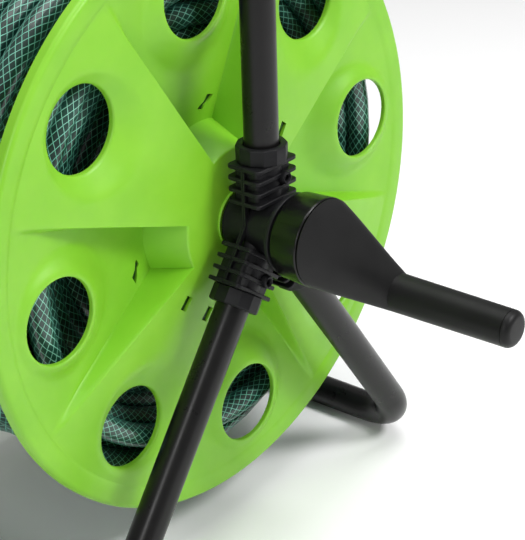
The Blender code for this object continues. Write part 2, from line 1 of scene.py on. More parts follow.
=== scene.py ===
"""Looks of the garden hose reel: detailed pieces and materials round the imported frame.

Shapes are made in the hub's frame: its origin is where the reel's axis meets the near
flange's rim plane, +X is the axis towards the crank, +Y is to the rear and +Z is up.
"""
import math

import bmesh
import bpy
import numpy as np
from mathutils import Matrix, Vector


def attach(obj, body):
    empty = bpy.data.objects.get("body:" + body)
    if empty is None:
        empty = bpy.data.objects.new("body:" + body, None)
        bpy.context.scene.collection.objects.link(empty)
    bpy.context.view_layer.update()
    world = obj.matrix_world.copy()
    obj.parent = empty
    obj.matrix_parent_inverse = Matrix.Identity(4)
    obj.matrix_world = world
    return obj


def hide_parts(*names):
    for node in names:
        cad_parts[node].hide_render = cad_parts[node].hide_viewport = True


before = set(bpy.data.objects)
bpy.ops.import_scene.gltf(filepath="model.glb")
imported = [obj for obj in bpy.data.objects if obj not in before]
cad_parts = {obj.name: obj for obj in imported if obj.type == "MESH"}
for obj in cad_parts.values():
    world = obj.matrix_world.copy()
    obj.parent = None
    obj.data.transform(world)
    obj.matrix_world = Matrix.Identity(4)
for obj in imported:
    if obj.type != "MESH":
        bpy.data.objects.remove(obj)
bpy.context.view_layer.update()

# ---------------------------------------------------------------- sizes, as the CAD has them
HUB = Vector((0.0501, 0.0, 0.2262))
REEL_WIDTH = 0.200
TUBE_R = 0.011
TUBE_FLAT = TUBE_R * math.cos(math.pi / 12)
LEG_SPREAD = 0.157
LEG_BEND_R = 0.040
HANDLE_RISE = 0.3105
HANDLE_BEND_R = 0.048
CLAMP_X = 0.035
GAP = 0.0003
TUBE_START = 0.0235

FLANGE_R = 0.200
FLANGE_T = 0.0024
RIM_R = 0.185
BOSS_R = 0.058                     # foot of a sunk sector's end wall
CROWN = (0.048, 0.013)             # edge of the domed centre: radius, height
DOME = (0.0440, 0.0134)            # where the dome's edge has flattened out
HUB_RING_R = (0.0193, 0.0203)
HUB_RISE = 0.0158
FLOOR_DROP = 0.015
SECTORS = 8
SECTOR_TURN = math.radians(6.88)
WINDOW_R = 0.0271
WINDOW_CIRCLE = 0.1486
HOLE_DEPTH = 0.0035
EDGE_R = 0.0012                    # rounding of a window's edge
COLLAR = (0.002, 0.0025, 0.60)     # round a sunk sector's window: height, crest, slope
CRATER = (-0.0015, 0.48)           # round a raised sector's window: height, slope
WALL_DRAFT = math.radians(1.6)
DRUM_HALVES = (1, 5)
CLIP = (math.radians(10.6), 0.0652, 0.00485, 0.00265)   # turn, radius, half length, half width
HOOK_TURN = math.radians(21.5)     # frame of a hooked slot, from the drum half's middle
HOOK = ((73.3, -16.0), (73.3, -9.7), (69.3, -12.6), (66.2, -16.6), (63.2, -17.4), (63.2, -22.3),
        (65.3, -21.2), (68.5, -17.8))                   # its outline, mm

BARREL_R = 0.0190
BARREL_LIP_R = 0.0260
BARREL_X = (0.0165, 0.0592)
SOCKET_R = 0.0121
RIB_BOTTOMS = (0.0188, 0.0264, 0.0340, 0.0416)
RIB_T = 0.0026
RIB_HALF = (0.0130, 0.0192)
RIB_CORNER = 0.0032
CORE_HALF = (0.0098, 0.0160)       # solid block between the ribs: along the axis, across the tube
CORE_CORNER = 0.0030
BOSS_PROUD = 0.0020                # a screw boss's face beyond the ribs
COLLAR_SPAN = (0.0445, 0.0553)
COLLAR_SIDES = 12
SCREW_AT = (0.0333, 0.0055)
SCREW_BOSS_R = 0.0041
SPINDLE_R = 0.0125
BUSH_R = 0.0155

CRANK_X = (0.0618, 0.0828)
CRANK_R = (0.0276, 0.0288)
GRIP_R = (0.0127, 0.0121)
GRIP_CENTRE = (0.0410, -0.0421)
GRIP_X = (0.1100, 0.1920)
CAP_END = 0.1973
INLET_X = -0.2810

HOSE_D = 0.016
OUTLET_ANGLE = SECTOR_TURN + 1.5 * 2 * math.pi / SECTORS
OUTLET_X = -0.1710
END_ANGLE = math.radians(52)
END_X = -0.1585
END_R = 0.1900


def side_x(side, x):
    """Distance x outside the near rim plane (side 1), or its mirror at the far one (side -1)."""
    return x if side > 0 else -REEL_WIDTH - x


# ---------------------------------------------------------------- camera
def camera():
    data = bpy.data.cameras.new("camera")
    cam = bpy.data.objects.new("camera", data)
    bpy.context.scene.collection.objects.link(cam)
    right = Vector((0.7711, 0.6361, -0.0269))
    up = Vector((-0.2559, 0.3483, 0.9018))
    back = right.cross(up).normalized()
    right = up.cross(back).normalized()
    place = HUB + Vector((0.70790, -0.79715, 0.46702))
    cam.matrix_world = Matrix((
        (right.x, up.x, back.x, place.x),
        (right.y, up.y, back.y, place.y),
        (right.z, up.z, back.z, place.z),
        (0, 0, 0, 1)))
    data.sensor_fit = "VERTICAL"
    data.sensor_height = 36
    data.sensor_width = 36
    data.lens = 121.416
    data.clip_start = 0.02
    bpy.context.scene.camera = cam


camera()
bpy.context.scene.view_settings.view_transform = "Standard"


# ---------------------------------------------------------------- materials
class Nodes:
    """Short names for the nodes of one material."""

    def __init__(self, name):
        self.mat = bpy.data.materials.new(name)
        self.mat.use_nodes = True
        self.tree = self.mat.node_tree
        self.shader = self.tree.nodes["Principled BSDF"]

    def put(self, kind, links=(), **values):
        node = self.tree.nodes.new(kind)
        for key, value in values.items():
            setattr(node, key, value)
        for socket, source in links:
            if isinstance(source, (int, float, tuple)):
                node.inputs[socket].default_value = source
            else:
                self.tree.links.new(source, node.inputs[socket])
        return node

    def math(self, operation, a, b=0.0):
        return self.put("ShaderNodeMath", [(0, a), (1, b)], operation=operation).outputs[0]

    def noise(self, coord, scale, detail=3.0, rough=0.55):
        links = [("Vector", coord), ("Scale", float(scale)), ("Detail", detail), ("Roughness", rough)]
        return self.put("ShaderNodeTexNoise", links).outputs[0]

    def remap(self, value, a, b, c, d):
        links = [("Value", value), ("From Min", a), ("From Max", b), ("To Min", c), ("To Max", d)]
        return self.put("ShaderNodeMapRange", links).outputs[0]

    def mix(self, factor, a, b):
        links = [("Factor", factor), (6, a), (7, b)]
        return self.put("ShaderNodeMix", links, data_type="RGBA").outputs[2]

    def bump(self, height, strength, distance):
        links = [("Strength", strength), ("Distance", distance), ("Height", height)]
        return self.put("ShaderNodeBump", links).outputs[0]

    def out(self, socket, source):
        if isinstance(source, (int, float, tuple)):
            self.shader.inputs[socket].default_value = source
        else:
            self.tree.links.new(source, self.shader.inputs[socket])


def plastic(name, dark, light, rough=(0.35, 0.5), grain=2200, grain_depth=0.00006, coat=0.0,
            coat_rough=0.2, specular=0.5, patch=22, sss=0.0, metallic=0.0, scuff=0.0):
    """Moulded or painted surface: slow colour drift, fine grain, uneven gloss, faint scuffs."""
    n = Nodes(name)
    coord = n.put("ShaderNodeTexCoord").outputs["Object"]
    drift = n.noise(coord, patch, 4.0)
    colour = n.mix(n.remap(drift, 0.3, 0.7, 0.0, 1.0), (*dark, 1), (*light, 1))
    fine = n.noise(coord, grain, 2.0)
    rough_map = n.remap(n.noise(coord, patch * 3, 5.0), 0.3, 0.7, *rough)
    if scuff:
        marks = n.noise(coord, 160, 8.0, 0.75)
        worn = n.remap(marks, 0.66, 0.74, 0.0, scuff)
        colour = n.mix(worn, colour, tuple(min(1.0, c * 1.6 + 0.02) for c in light) + (1,))
        rough_map = n.math("ADD", rough_map, n.math("MULTIPLY", worn, 0.25))
    n.out("Base Color", colour)
    n.out("Roughness", rough_map)
    n.out("Metallic", metallic)
    n.out("Specular IOR Level", specular)
    n.out("Coat Weight", coat)
    n.out("Coat Roughness", coat_rough)
    if sss:
        n.out("Subsurface Weight", sss)
        n.out("Subsurface Radius", (0.25, 1.0, 0.1))
        n.out("Subsurface Scale", 0.002)
    n.out("Normal", n.bump(fine, 0.35, grain_depth))
    return n.mat


def hose_material():
    """Clear green skin over two crossed layers of pale braid. UV: u round, v along in metres."""
    n = Nodes("braided_green_hose")
    coord = n.put("ShaderNodeTexCoord")
    uv = n.put("ShaderNodeSeparateXYZ", [(0, coord.outputs["UV"])])
    u, v = uv.outputs[0], uv.outputs[1]
    yarns, lead = 11.0, 0.0072
    wobble = n.math("MULTIPLY", n.math("SUBTRACT", n.noise(coord.outputs["Object"], 120), 0.5), 0.16)
    lines = []
    for sign in (1.0, -1.0):
        turn = n.math("ADD", n.math("MULTIPLY", u, yarns), n.math("MULTIPLY", v, sign / lead))
        turn = n.math("ADD", turn, wobble)
        off = n.math("ABSOLUTE", n.math("SUBTRACT", n.math("FRACT", turn), 0.5))
        lines.append(n.remap(off, 0.03, 0.07, 1.0, 0.0))
    braid = n.math("MAXIMUM", *lines)
    drift = n.noise(coord.outputs["Object"], 38, 3.0)
    skin = n.mix(n.remap(drift, 0.35, 0.65, 0.0, 1.0), (0.002, 0.018, 0.013, 1),
                 (0.006, 0.050, 0.036, 1))
    yarn = n.mix(n.remap(drift, 0.35, 0.65, 0.0, 1.0), (0.13, 0.47, 0.34, 1),
                 (0.28, 0.68, 0.53, 1))
    n.out("Base Color", n.mix(braid, skin, yarn))
    n.out("Roughness", n.remap(braid, 0.0, 1.0, 0.34, 0.5))
    n.out("Coat Weight", 0.5)
    n.out("Coat Roughness", 0.10)
    n.out("Sheen Weight", 0.25)
    n.out("Sheen Roughness", 0.35)
    n.out("Sheen Tint", (0.05, 0.55, 0.38, 1))
    relief = n.math("ADD", n.math("MULTIPLY", braid, 0.7), n.noise(coord.outputs["Object"], 300))
    n.out("Normal", n.bump(relief, 0.25, 0.0003))
    return n.mat


LIME = plastic("lime_plastic", (0.180, 0.470, 0.016), (0.220, 0.530, 0.025), (0.36, 0.46), sss=0.10,
               specular=0.50)
# The drum halves' dark green is painted shade: it makes the clip slots read as dark holes where the drum lies
# in shadow.
DRUM_PAINTED_SHADE = plastic("drum_painted_shade_green", (0.006, 0.040, 0.002), (0.009, 0.055, 0.003), (0.45, 0.55),
              specular=0.30)
BLACK = plastic("black_plastic", (0.005, 0.005, 0.006), (0.009, 0.009, 0.010), (0.40, 0.56),
                grain=1400, grain_depth=0.00012, specular=0.20, scuff=0.08)
SATIN = plastic("satin_black_plastic", (0.006, 0.006, 0.006), (0.010, 0.010, 0.010), (0.38, 0.46),
                grain=1800, grain_depth=0.00010, specular=0.20)
GLOSS = plastic("gloss_black_plastic", (0.003, 0.003, 0.003), (0.005, 0.005, 0.005), (0.22, 0.24),
                grain_depth=0.00001, specular=0.30, patch=8)
PAINT = plastic("painted_tube", (0.004, 0.004, 0.004), (0.007, 0.0065, 0.0065), (0.26, 0.36),
                grain=900, grain_depth=0.00010, coat=0.06, coat_rough=0.3, specular=0.24, scuff=0.06)
STEEL = plastic("zinc_screw", (0.030, 0.030, 0.031), (0.055, 0.055, 0.056), (0.30, 0.45), metallic=1.0)
NYLON = plastic("nylon_bush", (0.66, 0.65, 0.60), (0.76, 0.75, 0.71), (0.38, 0.55))
RUBBER = plastic("grip_rubber", (0.012, 0.012, 0.012), (0.020, 0.020, 0.020), (0.62, 0.80),
                 grain=700, grain_depth=0.00025)
HOSE = hose_material()


# ---------------------------------------------------------------- mesh helpers
def mesh_of(name, points, faces, smooth_angle=40):
    mesh = bpy.data.meshes.new(name)
    mesh.from_pydata([tuple(p) for p in points], [], faces)
    bm = bmesh.new()
    bm.from_mesh(mesh)
    bmesh.ops.remove_doubles(bm, verts=bm.verts, dist=1e-6)
    bmesh.ops.recalc_face_normals(bm, faces=bm.faces)
    bm.to_mesh(mesh)
    bm.free()
    mesh.shade_smooth()
    mesh.set_sharp_from_angle(angle=math.radians(smooth_angle))
    return mesh


def join(name, solids, smooth_angle=40):
    """One mesh from several (points, faces) shells."""
    points, faces = [], []
    for more, quads in solids:
        start = len(points)
        points += list(more)
        faces += [tuple(i + start for i in f) for f in quads]
    return mesh_of(name, points, faces, smooth_angle)


def skin(rings, caps=True, closed=False):
    """Points and faces over rings of equal length; closed joins the last ring to the first."""
    count = len(rings[0])
    points = [p for ring in rings for p in ring]
    faces = []
    last = len(rings) if closed else len(rings) - 1
    for row in range(last):
        low, high = row * count, (row + 1) % len(rings) * count
        for i in range(count):
            j = (i + 1) % count
            faces.append((low + i, low + j, high + j, high + i))
    if caps and not closed:
        faces.append(tuple(range(count)))
        faces.append(tuple(range((len(rings) - 1) * count, len(rings) * count)))
    return points, faces


def ring_x(x, r, centre=(0.0, 0.0), sides=64):
    turn = [i * 2 * math.pi / sides for i in range(sides)]
    return [Vector((x, centre[0] + r * math.cos(a), centre[1] + r * math.sin(a))) for a in turn]


def lathe_x(profile, centre=(0.0, 0.0), sides=64, closed=False):
    """A solid turned about X from (x, r) points."""
    return skin([ring_x(x, r, centre, sides) for x, r in profile], closed=closed)


def lathe_along(profile, base, direction, sides=40, closed=False):
    """A solid turned about any direction from (distance, r) points."""
    direction = Vector(direction).normalized()
    turn = direction.to_track_quat("Z", "Y").to_matrix()
    rings = []
    for s, r in profile:
        around = [i * 2 * math.pi / sides for i in range(sides)]
        rings.append([Vector(base) + turn @ Vector((r * math.cos(a), r * math.sin(a), s))
                      for a in around])
    return skin(rings, closed=closed)


def rounded(profile, radius, steps=4):
    """Rounds the inner corners of an open profile of 2-D points."""
    out = [profile[0]]
    for a, b, c in zip(profile, profile[1:], profile[2:]):
        a, b, c = (Vector((*p, 0)) for p in (a, b, c))
        cut = min(radius, (a - b).length * 0.45, (c - b).length * 0.45)
        start, end = b + (a - b).normalized() * cut, b + (c - b).normalized() * cut
        for i in range(steps + 1):
            t = i / steps
            p = start.lerp(b, t).lerp(b.lerp(end, t), t)
            out.append((p.x, p.y))
    return out + [profile[-1]]


def rounded_rect(hx, hy, r, steps=5):
    """Outline of a rounded rectangle."""
    out = []
    for cx, cy, start in ((1, 1, 0), (-1, 1, 90), (-1, -1, 180), (1, -1, 270)):
        for i in range(steps + 1):
            a = math.radians(start + 90 * i / steps)
            out.append((cx * (hx - r) + r * math.cos(a), cy * (hy - r) + r * math.sin(a)))
    return out


def plate(hx, hy, r, z0, z1, edge, turn, middle):
    """A rounded plate across a socket, with softened edges."""
    rings = []
    for z, shrink in ((z0, edge), (z0 + edge, 0), (z1 - edge, 0), (z1, edge)):
        outline = rounded_rect(hx - shrink, hy - shrink, r - shrink)
        rings.append([turn @ Vector((middle + x, y, z)) for x, y in outline])
    return skin(rings)


def sweep(path, r, sides):
    """A round bar along a path, with its frames carried along it."""
    path = [Vector(p) for p in path]
    tangents = []
    for i in range(len(path)):
        before, after = path[max(0, i - 1)], path[min(len(path) - 1, i + 1)]
        tangents.append((after - before).normalized())
    normal = tangents[0].orthogonal().normalized()
    rings = []
    for place, along in zip(path, tangents):
        normal = (normal - along * normal.dot(along)).normalized()
        other = along.cross(normal)
        around = [i * 2 * math.pi / sides for i in range(sides)]
        rings.append([place + (normal * math.cos(a) + other * math.sin(a)) * r for a in around])
    return skin(rings)


def rounded_path(corners, radius, steps=16):
    """Corner points joined by straight runs, with an arc of the given radius at each bend."""
    corners = [Vector(c) for c in corners]
    path = [corners[0]]
    for before, corner, after in zip(corners, corners[1:], corners[2:]):
        u, v = (before - corner).normalized(), (after - corner).normalized()
        half = u.angle(v) / 2
        reach = radius / math.tan(half)
        centre = corner + (u + v).normalized() * radius / math.sin(half)
        first, last = corner + u * reach - centre, corner + v * reach - centre
        arc = first.angle(last)
        for i in range(steps + 1):
            t = i / steps
            a = math.sin((1 - t) * arc) / math.sin(arc)
            b = math.sin(t * arc) / math.sin(arc)
            path.append(centre + first * a + last * b)
    return path + [corners[-1]]


def put(name, mesh, mat, body, slot, *nodes):
    """One detailed piece at the hub: it rides on a body and may stand for CAD nodes."""
    obj = bpy.data.objects.new(name, mesh)
    bpy.context.scene.collection.objects.link(obj)
    obj.location = HUB
    mesh.materials.append(mat)
    bpy.context.view_layer.update()
    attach(obj, body)
    if nodes:
        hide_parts(*nodes)
    return obj


def hidden(name, solid):
    """A solid for a Boolean, kept out of sight."""
    obj = bpy.data.objects.new(name, solid)
    obj.location = HUB
    bpy.context.scene.collection.objects.link(obj)
    return obj


def combine(mesh, *steps):
    """Applies exact Booleans to a mesh and returns the result; the operands are removed."""
    base = hidden("base", mesh)
    spare = [base]
    for operation, operand in steps:
        other = hidden("operand", operand)
        spare.append(other)
        mod = base.modifiers.new(operation, "BOOLEAN")
        mod.operation = operation
        mod.solver = "EXACT"
        mod.use_self = True
        mod.object = other
    bpy.context.view_layer.update()
    result = bpy.data.meshes.new_from_object(base.evaluated_get(bpy.context.evaluated_depsgraph_get()))
    for obj in spare:
        data = obj.data
        bpy.data.objects.remove(obj, do_unlink=True)
        bpy.data.meshes.remove(data)
    bm = bmesh.new()
    bm.from_mesh(result)
    bmesh.ops.remove_doubles(bm, verts=bm.verts, dist=2e-6)
    bmesh.ops.dissolve_degenerate(bm, edges=bm.edges, dist=2e-6)
    bm.to_mesh(result)
    bm.free()
    result.shade_smooth()
    result.set_sharp_from_angle(angle=math.radians(40))
    return result


# ---------------------------------------------------------------- hose
PER_TURN = 48
SWEEPS = (6.4, 6.6, 6.8, 7.0, 7.2, 7.4, 7.6, 7.94)     # turns of each pass across the drum
CONTACT = 0.0146                                      # the soft hose flattens where it lies on itself


def ease(t):
    t = min(1.0, max(0.0, t))
    return t * t * (3 - 2 * t)


def wander(turns, seed, size):
    """A slow wave, so that no turn is quite straight."""
    waves = math.sin(5.92 * turns + seed) + 0.7 * math.sin(3.72 * turns + 2 * seed + 1)
    return size * (waves + 0.5 * math.sin(5.72 * turns + 3.1 * seed)) / 2.2


def smoothed(values, width):
    kernel = np.hanning(2 * width + 3)[1:-1]
    return np.convolve(np.pad(values, width, mode="edge"), kernel / kernel.sum(), "valid")


def winding_path():
    """Centreline of the wound hose: each turn lies on whatever is already under it."""
    total = sum(SWEEPS)
    whole = round(total - ((END_ANGLE - OUTLET_ANGLE) / (2 * math.pi)) % 1)
    total = whole + ((END_ANGLE - OUTLET_ANGLE) / (2 * math.pi)) % 1
    starts = np.cumsum([0.0, *SWEEPS])
    count = int(total * PER_TURN) + 1
    xs, rs = np.zeros(count), np.zeros(count)
    first, short = 0.0835, 0.009
    for i in range(count):
        turns = i * total / (count - 1)
        k = min(len(SWEEPS) - 1, int(np.searchsorted(starts, turns, side="right")) - 1)
        below = rs[i - PER_TURN] if i >= PER_TURN else first
        slope = 0.011 * (below + 0.013 - 0.0725) / 0.1145
        near, far = -0.0275 + slope, -0.1725 - slope
        away = k % 2 == 1
        start, end = (near, far + short) if away else (far, near - short)
        before = near - short if away else far + short
        if k == 0:
            start = before = OUTLET_X
        if k == len(SWEEPS) - 1:
            end = END_X
        since = turns - starts[k]
        dwell = 1.0 if k == len(SWEEPS) - 1 else 0.0
        x = start + (end - start) * min(1.0, max(0.0, since - dwell) / (SWEEPS[k] - dwell))
        x = before + (x - before) * ease(since / 0.35)
        x += wander(turns, 1.7 * k, 0.0032) * ease(turns / 0.4) * ease((total - turns) / 0.4)
        xs[i] = min(near, max(far, x)) if turns > 0.3 else x
        rs[i] = first
        for off in (-1, 0, 1):
            under = np.arange(i - PER_TURN + off, -1, -PER_TURN)
            gap = np.abs(xs[under] - xs[i])
            hit = gap < CONTACT
            if hit.any():
                rs[i] = max(rs[i], np.max(rs[under][hit] + np.sqrt(CONTACT ** 2 - gap[hit] ** 2)))
    rs = smoothed(rs, 5)
    angles = OUTLET_ANGLE + np.arange(count) * total * 2 * math.pi / (count - 1)
    lift = np.array([ease(1 - (count - 1 - i) / (0.16 * PER_TURN)) for i in range(count)])
    rs = rs * (1 - lift) + END_R * lift
    points = [Vector((x, r * math.cos(a), r * math.sin(a))) for x, r, a in zip(xs, rs, angles)]
    out = Vector((0, math.cos(OUTLET_ANGLE), math.sin(OUTLET_ANGLE)))
    along = Vector((0, -out.z, out.y))
    barb = [Vector((OUTLET_X, 0, 0)) + out * 0.082 + along * s for s in (0.0072, 0.0145, 0.0220)]
    points = barb + points[4:]
    out = Vector((0, math.cos(END_ANGLE), math.sin(END_ANGLE)))
    along = Vector((0, -out.z, out.y))
    points.append(Vector((END_X, 0, 0)) + out * END_R + along * 0.0032)
    return points


def hose():
    path = winding_path()
    length = sum((b - a).length for a, b in zip(path, path[1:]))
    sides = 14
    points, faces = sweep(path, HOSE_D / 2, sides)
    mesh = bpy.data.meshes.new("hose")
    mesh.from_pydata([tuple(p) for p in points], [], faces)
    layer = mesh.uv_layers.new(name="UVMap")
    distance = [0.0]
    for a, b in zip(path, path[1:]):
        distance.append(distance[-1] + (b - a).length)
    for polygon in mesh.polygons:
        corners = [mesh.loops[i].vertex_index for i in polygon.loop_indices]
        rounds = [v % sides for v in corners]
        wraps = max(rounds) - min(rounds) > sides / 2
        for loop, vertex, step in zip(polygon.loop_indices, corners, rounds):
            u = (step + sides if wraps and step < sides / 2 else step) / sides
            layer.data[loop].uv = (u, distance[vertex // sides])
    mesh.shade_smooth()
    obj = put("garden_hose", mesh, HOSE, "reel", "green_hose", "hose_winding")
    return obj, path, length


def hose_connector():
    """Snap connector with a ribbed grip, on the hose's free end."""
    out = Vector((0, math.cos(END_ANGLE), math.sin(END_ANGLE)))
    along = Vector((0, -out.z, out.y))
    base = Vector((END_X, 0, 0)) + out * END_R
    profile = [(0.004, 0.0070), (0.004, 0.0085), (0.0, 0.0085), (0.0, 0.0102), (0.0012, 0.0107)]
    for i in range(7):
        s = 0.0030 + i * 0.0027
        profile += [(s, 0.0112), (s + 0.0012, 0.0112), (s + 0.0016, 0.0107), (s + 0.0023, 0.0107)]
    profile += [(0.0224, 0.0106), (0.0240, 0.0097), (0.0335, 0.0097), (0.0350, 0.0106),
                (0.0362, 0.0108), (0.0445, 0.0105), (0.0460, 0.0098), (0.0460, 0.0070)]
    mesh = join("hose_connector", [lathe_along(profile, base, along, 48, closed=True)], 30)
    return put("hose_connector", mesh, BLACK, "reel", "connector_plastic", "hose_end_connector")


hose_piece, hose_path, hose_length = hose()
connector_piece = hose_connector()


# ---------------------------------------------------------------- flanges
def soft_min(a, b, k):
    h = max(k - abs(a - b), 0.0) / k
    return min(a, b) - h * h * k / 4


def soft_max(a, b, k):
    return -soft_min(-a, -b, k)


def cone(r, inner, height):
    return height * (RIM_R - r) / (RIM_R - inner)


def sector_height(raised, y, z, centre):
    """A sector's slope, with a soft crater or collar round its window."""
    r = math.hypot(y, z)
    away = math.hypot(y - centre[0], z - centre[1]) - WINDOW_R
    if raised:
        return soft_min(cone(r, *CROWN), CRATER[0] + CRATER[1] * max(0.0, away), 0.0012)
    height, crest, slope = COLLAR
    collar_x = height - slope * soft_max(0.0, away - crest, 0.003)
    return soft_max(cone(r, BOSS_R, -FLOOR_DROP), collar_x, 0.0017)


def sector_angle(k):
    return SECTOR_TURN + k * 2 * math.pi / SECTORS


HALF = math.pi / SECTORS - WALL_DRAFT / 2
SPREAD = 0.16                      # raised sectors take this much more of the turn at the boss
ARC_OUT, ARC_IN, FLANK = 26, 16, 26
WALL_ROWS = 8


def widened(k, r, a):
    """Angle round the hub of a point at angle a from the middle of sector k."""
    share = (1 / r - 1 / RIM_R) / (1 / BOSS_R - 1 / RIM_R)
    sign = 1 if k % 2 else -1
    return sector_angle(k) + a * (1 + sign * SPREAD * share)


def flange_surface():
    """Points and quads of the near flange's outer face."""
    points, faces = [], []

    def vertex(y, z, x):
        points.append((x, y, z))
        return len(points) - 1

    def grid(rows, wrap):
        for low, high in zip(rows, rows[1:]):
            for i in range(len(low) if wrap else len(low) - 1):
                j = (i + 1) % len(low)
                faces.append((low[i], low[j], high[j], high[i]))

    near_steps = [0.0, 0.00006, 0.0002, 0.00042, 0.0007, 0.0010, 0.0018, 0.0028, 0.0038, 0.0050, 0.0064,
                  0.0080, 0.0100, 0.0125, 0.0155]
    rows_total = 23
    centres, rim_ring, boss_ring = [], [], []
    flank_edges = []
    for k in range(SECTORS):
        mid = sector_angle(k)
        raised = k % 2 == 1
        centre = (WINDOW_CIRCLE * math.cos(mid), WINDOW_CIRCLE * math.sin(mid))
        centres.append(centre)
        outline = [(RIM_R, -HALF + 2 * HALF * i / ARC_OUT) for i in range(ARC_OUT)]
        inner = CROWN[0] if raised else BOSS_R
        outline += [(RIM_R + (inner - RIM_R) * i / FLANK, HALF) for i in range(FLANK)]
        outline += [(inner, HALF - 2 * HALF * i / ARC_IN) for i in range(ARC_IN)]
        outline += [(inner + (RIM_R - inner) * i / FLANK, -HALF) for i in range(FLANK)]
        flat = []
        for r, a in outline:
            turn = widened(k, r, a)
            flat.append((r * math.cos(turn), r * math.sin(turn)))
        rows = []
        for row in range(rows_total + 1):
            ring = []
            for y, z in flat:
                dy, dz = y - centre[0], z - centre[1]
                reach = math.hypot(dy, dz) - WINDOW_R

                def distance(step):
                    if step < len(near_steps):
                        return min(near_steps[step], reach * step / rows_total)
                    last = distance(len(near_steps) - 1)
                    t = (step - len(near_steps) + 1) / (rows_total - len(near_steps) + 1)
                    return last + (reach - last) * t

                d = distance(row)
                a = math.atan2(dz, dy)
                py = centre[0] + (WINDOW_R + d) * math.cos(a)
                pz = centre[1] + (WINDOW_R + d) * math.sin(a)
                edge = max(0.0, EDGE_R - d)
                drop = EDGE_R - math.sqrt(max(0.0, EDGE_R ** 2 - edge ** 2))
                ring.append(vertex(py, pz, sector_height(raised, py, pz, centre) - drop))
            rows.append(ring)
        rows.insert(0, [vertex(points[v][1], points[v][2], points[v][0] - HOLE_DEPTH + EDGE_R)
                        for v in rows[0]])
        grid(rows, True)
        edge = rows[-1]
        corner_b = ARC_OUT + FLANK
        corner_c = corner_b + ARC_IN
        rim_ring.append(edge[:ARC_OUT + 1])
        boss_ring.append(edge[corner_b:corner_c + 1][::-1])
        flank_edges.append((edge[ARC_OUT:corner_b + 1], [edge[0]] + edge[:corner_c - 1:-1]))

    rim, boss = [], []
    for k in range(SECTORS):
        after = (k + 1) % SECTORS
        high, low = flank_edges[k][0], flank_edges[after][1]
        rows = [high]
        for step in range(1, WALL_ROWS):
            t = step / WALL_ROWS
            row = []
            for i, j in zip(high, low):
                a, b = points[i], points[j]
                blend = t * t * (3 - 2 * t)
                row.append(vertex(a[1] + (b[1] - a[1]) * t, a[2] + (b[2] - a[2]) * t,
                                  a[0] + (b[0] - a[0]) * blend))
            rows.append(row)
        rows.append(low)
        grid(rows, False)
        rim += rim_ring[k] + [row[0] for row in rows[1:-1]]
        boss += boss_ring[k] + [row[-1] for row in rows[1:-1]]

    def circle(source, r, x):
        ring = []
        for i in source:
            a = math.atan2(points[i][2], points[i][1])
            ring.append(vertex(r * math.cos(a), r * math.sin(a), x))
        return ring

    rim_rows = [rim, circle(rim, RIM_R + 0.0008, 0.0003), circle(rim, RIM_R + 0.0020, 0.0007),
                circle(rim, RIM_R + 0.0045, 0.0010), circle(rim, RIM_R + 0.0075, 0.0010)]
    lip = 0.0036
    for i in range(8):
        a = math.radians(90 * i / 7)
        rim_rows.append(circle(rim, FLANGE_R - lip + lip * math.sin(a),
                               0.0010 - lip + lip * math.cos(a)))
    rim_rows.append(circle(rim, FLANGE_R, -0.0075))
    grid(rim_rows, True)

    boss_rows = [boss]
    walls = []
    for v in boss:
        x, y, z = points[v]
        foot, corner = (math.hypot(y, z), x), (CROWN[0] - 0.001, CROWN[1] + 0.0001)
        wall = [tuple(p + (q - p) * t for p, q in zip(foot, corner)) for t in (0.3, 0.6, 0.85)]
        walls.append((math.atan2(z, y), wall + rounded([wall[-1], corner, DOME], 0.0011, 5)[1:]))
    for i in range(len(walls[0][1])):
        boss_rows.append([vertex(wall[i][0] * math.cos(a), wall[i][0] * math.sin(a), wall[i][1])
                          for a, wall in walls])
    crown = HUB_RISE - 0.0014
    for i in range(1, 9):
        t = i / 8
        r = DOME[0] + (HUB_RING_R[1] - DOME[0]) * t
        boss_rows.append(circle(boss, r, DOME[1] + (crown - DOME[1]) * math.sin(t * math.pi / 2)))
    for r, x in ((HUB_RING_R[1] - 0.0001, HUB_RISE - 0.0003), (HUB_RING_R[1] - 0.0003, HUB_RISE),
                 (HUB_RING_R[0] + 0.0003, HUB_RISE), (HUB_RING_R[0], HUB_RISE - 0.0004),
                 (HUB_RING_R[0] - 0.0003, crown - 0.0004), (SPINDLE_R + GAP, crown - 0.0004)):
        boss_rows.append(circle(boss, r, x))
    grid(boss_rows, True)
    return points, faces


def clip_slots():
    """Hooked slots in the sunk sectors, plain ones in the raised sectors."""
    solids = []

    def prism(outline, x0, x1):
        solids.append(skin([[Vector((x, y, z)) for y, z in outline] for x in (x0, x1)]))

    def placed(outline, turn, way):
        u, v = Vector((math.cos(turn), math.sin(turn))), Vector((math.sin(turn), -math.cos(turn)))
        return [u * a + v * (b * way) for a, b in outline]

    turn, r, long, wide = CLIP
    for sector in DRUM_HALVES:
        mid = sector_angle(sector)
        for way in (-1, 1):
            a, b = r * math.cos(turn), -r * math.sin(turn)
            plain = [(a + sa * long, b + sb * wide) for sa, sb in ((-1, -1), (1, -1), (1, 1), (-1, 1))]
            prism(placed(plain, mid, way), 0.0020, 0.0200)
            hook = [(a / 1000, b / 1000) for a, b in HOOK]
            prism(placed(hook, mid + way * HOOK_TURN, way), -0.0225, -0.0065)
    return join("clip_slots", solids)


